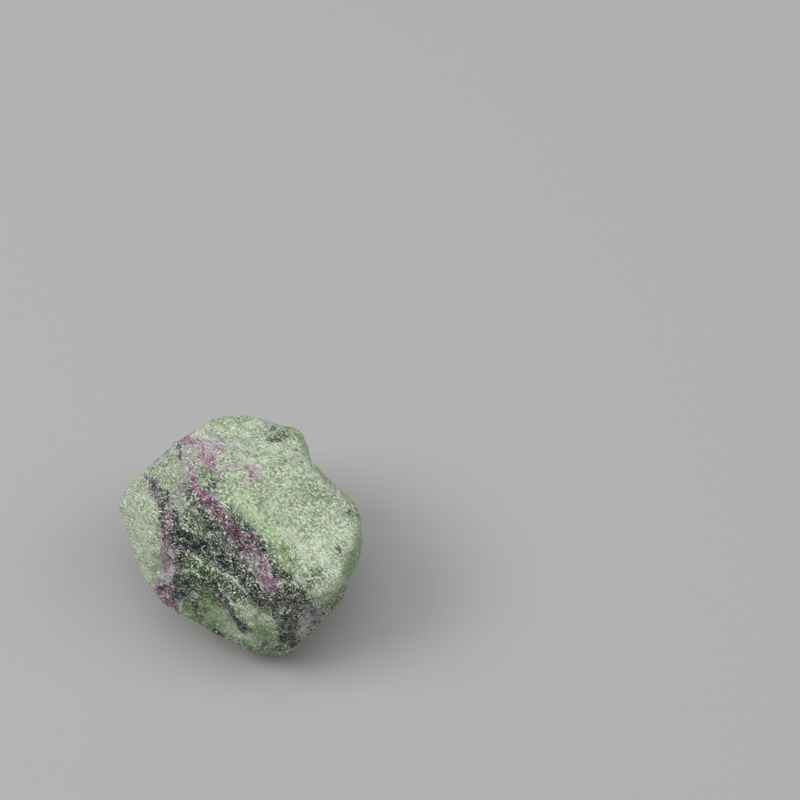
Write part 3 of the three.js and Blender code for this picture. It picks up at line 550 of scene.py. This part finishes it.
def mineral_shares(points, normals):
    """For each point of the surface, the share of its grains that are of each mineral."""
    to_eye = np.array(EYE) - points
    to_eye /= np.linalg.norm(to_eye, axis=1)[:, None]
    seen = fade((to_eye * normals).sum(1), *SEEN_FADE)
    # The zones' edges are ragged, and the sheets are bent and broken into patches. No share is even.
    ragged = straying(points, 2.4, (7.1, 19.7), 0.35) + straying(points, 0.8, (3.3, 28.1), 0.35)
    plane = as_seen(points) + ragged
    body = eye_frame(points) + straying(points, 6.0, (2.2, 11.9, 23.4), 2.2)
    patchy = fade(waves(points, 5.0, 41.0), -0.35, 0.25)
    shares = {}
    for attribute, zones in SEEN_ZONES.items():
        front = np.zeros(len(points))
        for share, *line in zones.values():
            front = np.maximum(front, share * (1 - fade(depth_in_line(plane, line), *ZONE_FADE)))
        hidden = np.zeros(len(points))
        for facing, offset, half_width, share in HIDDEN_SHEETS.get(attribute, ()):
            way = np.array(facing) / np.linalg.norm(facing)
            away = np.abs(body @ way - offset) / half_width
            hidden = np.maximum(hidden, share * patchy * (1 - fade(away, *SHEET_FADE)))
        uneven = 1 + 0.6 * waves(points, 1.1, 31.0 + len(shares))
        least = SCATTERED.get(attribute, 0)
        shares[attribute] = np.maximum(seen * front + (1 - seen) * hidden, least) * uneven
    return shares


def smoothed_copy(name, solid):
    """A finer copy of the solid's mesh with its facets smoothed and its base left flat."""
    mesh = solid.data.copy()
    mesh.name = name
    body = bmesh.new()
    body.from_mesh(mesh)
    bmesh.ops.remove_doubles(body, verts=body.verts, dist=1e-6)
    all_axes = {"use_axis_x": True, "use_axis_y": True, "use_axis_z": True}
    for rounds in (2, 1):
        bmesh.ops.subdivide_edges(body, edges=body.edges, cuts=1, use_grid_fill=True)
        bmesh.ops.triangulate(body, faces=body.faces)
        above = [v for v in body.verts if v.co.z > BASE_TOP * MM]
        for _ in range(rounds):
            bmesh.ops.smooth_vert(body, verts=above, factor=0.5, **all_axes)
    bmesh.ops.recalc_face_normals(body, faces=body.faces)
    body.to_mesh(mesh)
    body.free()
    return mesh


def read_vectors(vertices, what):
    """What the vertices have, such as their places, as one row of three numbers each."""
    numbers = np.empty(len(vertices) * 3)
    vertices.foreach_get(what, numbers)
    return numbers.reshape(-1, 3)


def broken_height(points, shares, choices):
    """How far the broken surface stands out at each point, in millimetres.

    Dark rock breaks the roughest and into blocks, ruby is less rough, and pale zoisite is the smoothest.
    """
    dark = np.clip(np.maximum(shares["smoky_share"], shares["amphibole_share"]), 0, 1)
    rough = 0.5 + 0.7 * dark + 0.3 * shares["ruby_share"] - 0.2 * shares["pale_share"]
    drawn = drawn_along_bands(points)
    clump, crystal, block = choices.clump / MM, choices.crystal / MM, choices.block / MM
    clumps = 0.7 * waves(drawn, clump, 5.5) + broken_faces(drawn, clump, 9.5)
    crystals = waves(points, crystal, 13.5) + 0.6 * waves(points, crystal / 2, 17.5)
    blocks = broken_faces(drawn, block, 3.7)
    height = rough * (clumps * choices.clump_height + crystals * choices.crystal_height) / MM
    return height + (0.2 + 0.7 * dark) * blocks * choices.block_height / MM


def fine_stone(name, solid, choices):
    """The solid with its facets smoothed and its broken, grainy surface cut into it."""
    mesh = smoothed_copy(name, solid)
    points = read_vectors(mesh.vertices, "co") / MM
    normals = read_vectors(mesh.vertices, "normal")
    shares = mineral_shares(points, normals)
    height = broken_height(points, shares, choices)
    # How deep each point lies in a recess, which the material darkens as painted shade.
    painted_recess_shade = fade(-height, 0.0, FULL_SHADE_DEPTH)
    lifted = np.clip(height, *RELIEF) - SUNK
    points = points + normals * (lifted * fade(points[:, 2], *BASE_FADE))[:, None]
    low, high = (np.array(corner) / MM for corner in CAD_BOX)
    points = np.clip(points, low, high)
    mesh.vertices.foreach_set("co", (points * MM).ravel())
    for attribute, values in {**shares, "painted_recess_shade": painted_recess_shade}.items():
        mesh.attributes.new(attribute, "FLOAT", "POINT").data.foreach_set("value", values.astype(np.float32))
    mesh.update()
    stone = bpy.data.objects.new(name, mesh)
    bpy.context.scene.collection.objects.link(stone)
    mesh.shade_smooth()
    return stone


def add_node(tree, kind, inputs=(), output=0, stops=(), **settings):
    """Adds a node, sets its properties, and gives its inputs their values or links them.

    It gives back the output that the next node takes. The stops are a colour ramp's, as pairs of place and
    colour in rising order.
    """
    node = tree.nodes.new(kind)
    for key, value in settings.items():
        setattr(node, key, value)
    for key, value in dict(inputs).items():
        if isinstance(value, bpy.types.NodeSocket):
            tree.links.new(value, node.inputs[key])
        else:
            node.inputs[key].default_value = value
    for number, (place, colour) in enumerate(stops):
        elements = node.color_ramp.elements
        stop = elements[number] if number < len(elements) else elements.new(place)
        stop.position, stop.color = place, colour
    return node.outputs[output]


def new_material(name):
    """An empty node material with its Principled shader."""
    material = bpy.data.materials.new(name)
    material.use_nodes = True
    return material, material.node_tree, material.node_tree.nodes["Principled BSDF"]


def ruby_zoisite_rock_rough_broken(choices):
    """Anyolite, which is zoisite rock with ruby and amphibole in it, rough from the hammer.

    Its broken surface is a felt of short fibres and sugary grains. The fibres lie along the bands with some
    across them, and each crumb has a clean face that turns its own way, so pale rock looks frosted. Here and
    there a fibre or a crumb is painted white as a highlight, and painted shade darkens the recesses.
    The amphibole is near-black and a little glossier than the rest, and the ruby is magenta.
    """
    material, tree, shader = new_material("ruby_zoisite_rock_rough_broken")
    place = add_node(tree, "ShaderNodeTexCoord", output="Object")
    shares = {}
    for name in (*SEEN_ZONES, "painted_recess_shade"):
        shares[name] = add_node(tree, "ShaderNodeAttribute", output="Fac", attribute_name=name)
    smoky, pale, glints = shares["smoky_share"], shares["pale_share"], shares["glint_share"]

    # The fabric runs along the bands and sways a little from place to place.
    sway = add_node(tree, "ShaderNodeTexNoise", {"Vector": place, "Scale": 1 / choices.sway}, "Color")
    reach = (SWAY_REACH * choices.sway,) * 3
    bent = add_node(tree, "ShaderNodeVectorMath", {0: sway, 1: reach, 2: place}, operation="MULTIPLY_ADD")
    turned = {"Vector": bent, "Rotation": (0, 0, FABRIC_BEARING), "Scale": (FABRIC_STRETCH * MM, MM, MM)}
    fabric = add_node(tree, "ShaderNodeMapping", turned, vector_type="TEXTURE")

    # The grains, the finer crumbs between them, and the clouds of a few millimetres where the rock is
    # cleaner or dirtier. The fabric is measured in millimetres. Every grain and crumb has three lots of its
    # own, which are numbers between 0 and 1.
    fineness = MM / choices.grain
    grains = add_node(tree, "ShaderNodeTexVoronoi", {"Vector": fabric, "Scale": fineness})
    crumbs = add_node(tree, "ShaderNodeTexVoronoi", {"Vector": fabric, "Scale": CRUMB_FINENESS * fineness})
    lots, crumb_lots = (
        add_node(tree, "ShaderNodeSeparateColor", {"Color": cells.node.outputs["Color"]}).node.outputs
        for cells in (grains, crumbs)
    )
    mottled = {"Vector": fabric, "Scale": MOTTLE_FINENESS * fineness, "Detail": 3}
    mottle = add_node(tree, "ShaderNodeTexNoise", mottled)
    clouded = {"Vector": fabric, "Scale": 1 / CLOUD, "Detail": 3, "Roughness": 0.7}
    cloud = add_node(tree, "ShaderNodeTexNoise", clouded)

    # The fibres, a few times as long as they are wide, as two noises between 0 and 1. They are drawn about
    # as wide as a pixel of the render, because finer ones wouldn't show.
    fibres = []
    for bearing, length in ((FABRIC_BEARING, FIBRE_LENGTH), (CROSS_BEARING, CROSS_LENGTH)):
        size = (length * choices.fibre, choices.fibre, choices.fibre)
        turned = {"Vector": bent, "Rotation": (0, 0, bearing), "Scale": size}
        streaks = add_node(tree, "ShaderNodeMapping", turned, vector_type="TEXTURE")
        fibres.append(add_node(tree, "ShaderNodeTexNoise", {"Vector": streaks, "Scale": 1.0, "Detail": 0.5}))
    # Across the bands they show little but in the dark rock.
    crossing = add_node(tree, "ShaderNodeMath", {0: smoky, 1: 1.0, 2: 0.15}, operation="MULTIPLY_ADD")
    away = add_node(tree, "ShaderNodeMath", {0: fibres[1], 1: 0.5}, operation="SUBTRACT")
    felt = add_node(tree, "ShaderNodeMath", {0: away, 1: crossing, 2: fibres[0]}, operation="MULTIPLY_ADD")
    felt = add_node(tree, "ShaderNodeMath", {0: felt, 1: 0.5}, operation="SUBTRACT")

    # How pale each spot is: the clouds, less in smoky rock and more in pale rock, and the fibres and crumbs,
    # which differ more in some places than in others and most in smoky rock. Clean rock has no very dark
    # fibres and no very dark spots.
    sways = add_node(tree, "ShaderNodeSeparateColor", {"Color": sway}).node.outputs
    differing = 0.36
    for amount, factor in ((sways["Red"], 3.0), (smoky, 0.9)):
        terms = {0: amount, 1: factor, 2: differing}
        differing = add_node(tree, "ShaderNodeMath", terms, operation="MULTIPLY_ADD")
    crumb = add_node(tree, "ShaderNodeMath", {0: crumb_lots[0], 1: 0.42, 2: -0.21}, operation="MULTIPLY_ADD")
    lowest = add_node(tree, "ShaderNodeMath", {0: smoky, 1: -0.2, 2: -0.09}, operation="MULTIPLY_ADD")
    fine = add_node(tree, "ShaderNodeMath", {0: felt, 1: lowest}, operation="MAXIMUM")
    fine = add_node(tree, "ShaderNodeMath", {0: fine, 1: crumb}, operation="ADD")
    level = -0.08
    for amount, factor in ((cloud, 1.1), (smoky, -0.71), (pale, 0.22)):
        level = add_node(tree, "ShaderNodeMath", {0: amount, 1: factor, 2: level}, operation="MULTIPLY_ADD")
    tone = add_node(tree, "ShaderNodeMath", {0: fine, 1: differing, 2: level}, operation="MULTIPLY_ADD")
    darkest = add_node(tree, "ShaderNodeMath", {0: smoky, 1: -0.6, 2: 0.27}, operation="MULTIPLY_ADD")
    tone = add_node(tree, "ShaderNodeMath", {0: tone, 1: darkest}, operation="MAXIMUM")

    def drawn(name, lot, most=1.0):
        """How far each spot is of the mineral: where its share beats the mottle, the fibres and its lot."""
        lead = 0.0
        for amount, factor in ((lot, -0.35), (shares[name], 1.3), (mottle, -0.95), (felt, -0.6)):
            lead = add_node(tree, "ShaderNodeMath", {0: amount, 1: factor, 2: lead}, operation="MULTIPLY_ADD")
        soft = {"Value": lead, "From Min": -0.24, "From Max": 0.16, "To Max": most}
        return add_node(tree, "ShaderNodeMapRange", soft, interpolation_type="SMOOTHSTEP")

    # Each mineral's colours, from its darkest spots to its palest. The later ones lie over the earlier ones.
    # Here and there the green rock is warmer or greener by itself.
    rock = (
        (0.0, choices.zoisite_smoky),
        (0.25, choices.zoisite_shadow),
        (0.5, choices.zoisite),
        (0.8, choices.zoisite_pale),
        # The white stop is partly the rock's whitest grains and partly painted highlights.
        (1.0, choices.zoisite_white_and_highlight),
    )
    warm = (
        (0.0, choices.zoisite_smoky),
        (0.25, choices.zoisite_warm_dark),
        (0.6, choices.zoisite_warm),
        (1.0, choices.zoisite_white_and_highlight),
    )
    vivid = ((0.0, choices.chrome_green_dark), (0.45, choices.chrome_green), (0.9, choices.zoisite_pale))
    lilac = ((0.0, choices.lilac_dark), (0.4, choices.lilac), (0.75, choices.lilac_pale))
    black = ((0.05, choices.amphibole), (0.3, choices.amphibole_grey), (0.8, choices.amphibole_pale))
    ruby = ((0.0, choices.ruby_dark), (0.35, choices.ruby), (0.8, choices.ruby_pale))
    rust = ((0.0, choices.rust_dark), (0.5, choices.rust))
    warmer = {"Value": sways["Blue"], "From Min": 0.45, "From Max": 0.65, "To Max": 0.7}
    greener = {"Value": sways["Green"], "From Min": 0.5, "From Max": 0.72, "To Max": 0.45}
    is_black = drawn("amphibole_share", lots[1])
    colour = add_node(tree, "ShaderNodeValToRGB", {"Fac": tone}, stops=rock)
    for stops, amount in (
        (warm, add_node(tree, "ShaderNodeMapRange", warmer)),
        (vivid, add_node(tree, "ShaderNodeMapRange", greener)),
        (vivid, drawn("chrome_green_share", lots[2])),
        (lilac, drawn("lilac_share", crumb_lots[1])),
        (black, is_black),
        (ruby, drawn("ruby_share", lots[0], 0.9)),
        (rust, drawn("rust_share", crumb_lots[1], 0.7)),
    ):
        tint = add_node(tree, "ShaderNodeValToRGB", {"Fac": tone}, stops=stops)
        colour = add_node(tree, "ShaderNodeMix", {0: amount, 6: colour, 7: tint}, 2, data_type="RGBA")

    # A little painted shade darkens the recesses, and the gaps between fibres are darker, both most in the
    # smoky rock. Single fibres and crumbs are painted white as highlights, and more of them where the glints
    # are.
    shade_in_recesses = add_node(tree, "ShaderNodeMath", {0: smoky, 1: 0.5, 2: 0.15}, operation="MULTIPLY_ADD")
    shade_in_recesses = add_node(tree, "ShaderNodeMath", {0: shares["painted_recess_shade"], 1: shade_in_recesses}, operation="MULTIPLY")
    keener = felt
    for amount, factor in ((smoky, -0.05), (glints, 0.3)):
        keener = add_node(tree, "ShaderNodeMath", {0: amount, 1: factor, 2: keener}, operation="MULTIPLY_ADD")
    deeper = add_node(tree, "ShaderNodeMath", {0: smoky, 1: 0.65, 2: 0.04}, operation="MULTIPLY_ADD")
    gap = {"Value": felt, "From Min": -0.13, "From Max": -0.26, "To Max": deeper}
    # The flashes of fibres and the sparks of crumbs are painted highlights.
    flash = {"Value": keener, "From Min": 0.16, "From Max": 0.24, "To Max": 0.8}
    painted_spark = {"Value": crumb_lots[2], "From Min": 0.96, "From Max": 0.98, "To Max": 0.9}
    for amount, tint in (
        # Painted shade in the recesses, in the amphibole's near-black.
        (shade_in_recesses, choices.amphibole),
        (add_node(tree, "ShaderNodeMapRange", gap), choices.amphibole),
        (add_node(tree, "ShaderNodeMapRange", flash), choices.zoisite_white_and_highlight),
        (add_node(tree, "ShaderNodeMapRange", painted_spark), choices.zoisite_white_and_highlight),
    ):
        colour = add_node(tree, "ShaderNodeMix", {0: amount, 6: colour, 7: tint}, 2, data_type="RGBA")
    tree.links.new(colour, shader.inputs["Base Color"])

    # Each fibre stands out a little, and each crumb's face turns its own way, which makes the rock glitter.
    height = add_node(tree, "ShaderNodeMath", {0: grains, 1: -0.4, 2: felt}, operation="MULTIPLY_ADD")
    bumps = {"Height": height, "Strength": 0.8, "Distance": FIBRE_HEIGHT * MM}
    relief = add_node(tree, "ShaderNodeBump", bumps, "Normal")
    tilt = 0.5
    for amount, factor in ((smoky, 0.8), (glints, 1.8)):
        tilt = add_node(tree, "ShaderNodeMath", {0: amount, 1: factor, 2: tilt}, operation="MULTIPLY_ADD")
    centred = {0: crumbs.node.outputs["Color"], 1: (0.5, 0.5, 0.5)}
    centred = add_node(tree, "ShaderNodeVectorMath", centred, operation="SUBTRACT")
    turned = add_node(tree, "ShaderNodeVectorMath", {0: centred, "Scale": tilt}, operation="SCALE")
    face = add_node(tree, "ShaderNodeVectorMath", {0: relief, 1: turned}, operation="ADD")
    face = add_node(tree, "ShaderNodeVectorMath", {0: face}, operation="NORMALIZE")
    tree.links.new(face, shader.inputs["Normal"])
    dull = 0.3
    for amount, factor in ((crumb_lots[2], 0.5), (is_black, -0.15), (glints, -0.25)):
        dull = add_node(tree, "ShaderNodeMath", {0: amount, 1: factor, 2: dull}, operation="MULTIPLY_ADD")
    tree.links.new(dull, shader.inputs["Roughness"])
    shader.inputs["IOR"].default_value = 1.69
    shader.inputs["Specular IOR Level"].default_value = 0.35
    return material


def matt_paper(name, colour):
    """Card with a smooth matt surface, which has no shine to speak of."""
    material, _, shader = new_material(name)
    shader.inputs["Base Color"].default_value = colour
    shader.inputs["Roughness"].default_value = 0.9
    shader.inputs["Specular IOR Level"].default_value = 0.1
    return material


def soft_light(name, place, size, power):
    """Adds a large square light that looks at the stone."""
    lamp = bpy.data.lights.new(name, "AREA")
    lamp.shape = "SQUARE"
    lamp.size = size
    lamp.energy = power
    light = bpy.data.objects.new(name, lamp)
    light.location = place
    light.rotation_euler = (-Vector(place)).to_track_quat("-Z", "Y").to_euler()
    bpy.context.scene.collection.objects.link(light)


class ZOISITE_OT_stone(bpy.types.Operator):
    """Make the rock with its broken surface, its ruby bands and its dark amphibole"""

    bl_idname = "zoisite.stone"
    bl_label = "Stone"
    bl_options = {"REGISTER", "UNDO"}

    def execute(self, context):
        choices = context.scene.zoisite_stone_choices
        stone = fine_stone("stone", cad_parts["zoisite_stone"], choices)
        stone.data.materials.clear()
        stone.data.materials.append(ruby_zoisite_rock_rough_broken(choices))
        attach(stone, "root")
        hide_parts("zoisite_stone")
        return {"FINISHED"}


class ZOISITE_OT_stage(bpy.types.Operator):
    """Make the pale floor, the soft lights and the camera"""

    bl_idname = "zoisite.stage"
    bl_label = "Stage"
    bl_options = {"REGISTER", "UNDO"}

    def execute(self, context):
        choices = context.scene.zoisite_stage_choices
        bpy.ops.mesh.primitive_plane_add(size=8)
        floor = context.object
        floor.name = "floor"
        floor.data.materials.append(matt_paper("matt_paper_floor", choices.floor))
        soft_light("left_light", (-0.75, -0.05, 0.95), 0.6, choices.left_light)
        soft_light("right_light", (0.8, 0.0, 0.95), 0.6, choices.right_light)
        soft_light("top_light", (0.0, 0.05, 1.2), 0.9, choices.top_light)
        world = bpy.data.worlds.new("studio")
        world.use_nodes = True
        background = world.node_tree.nodes["Background"]
        background.inputs["Color"].default_value = (1, 1, 1, 1)
        background.inputs["Strength"].default_value = choices.surroundings
        context.scene.world = world
        context.scene.view_settings.view_transform = "Standard"
        lens = bpy.data.cameras.new("camera")
        lens.lens = LENS
        lens.sensor_width = SENSOR
        camera = bpy.data.objects.new("camera", lens)
        camera.location = EYE * MM
        camera.rotation_euler = (math.pi / 2 - EYE_DOWN, 0, 0)
        context.scene.collection.objects.link(camera)
        context.scene.camera = camera
        return {"FINISHED"}


class ZOISITE_PT_panel(bpy.types.Panel):
    """The stone's and the stage's choices in the sidebar"""

    bl_idname = "ZOISITE_PT_panel"
    bl_label = "Zoisite stone"
    bl_space_type = "VIEW_3D"
    bl_region_type = "UI"
    bl_category = "Stone"

    def draw(self, context):
        for operator, choices in (
            (ZOISITE_OT_stone, context.scene.zoisite_stone_choices),
            (ZOISITE_OT_stage, context.scene.zoisite_stage_choices),
        ):
            box = self.layout.box()
            for name in choices.__annotations__:
                box.prop(choices, name)
            box.operator(operator.bl_idname)


CLASSES = (StoneChoices, StageChoices, ZOISITE_OT_stone, ZOISITE_OT_stage, ZOISITE_PT_panel)


def register():
    for made in CLASSES:
        bpy.utils.register_class(made)
    bpy.types.Scene.zoisite_stone_choices = bpy.props.PointerProperty(type=StoneChoices)
    bpy.types.Scene.zoisite_stage_choices = bpy.props.PointerProperty(type=StageChoices)


def unregister():
    del bpy.types.Scene.zoisite_stage_choices
    del bpy.types.Scene.zoisite_stone_choices
    for made in reversed(CLASSES):
        bpy.utils.unregister_class(made)


def main():
    """Makes the scene."""
    register()
    bpy.ops.zoisite.stone()
    bpy.ops.zoisite.stage()


if __name__ == "__main__":
    main()
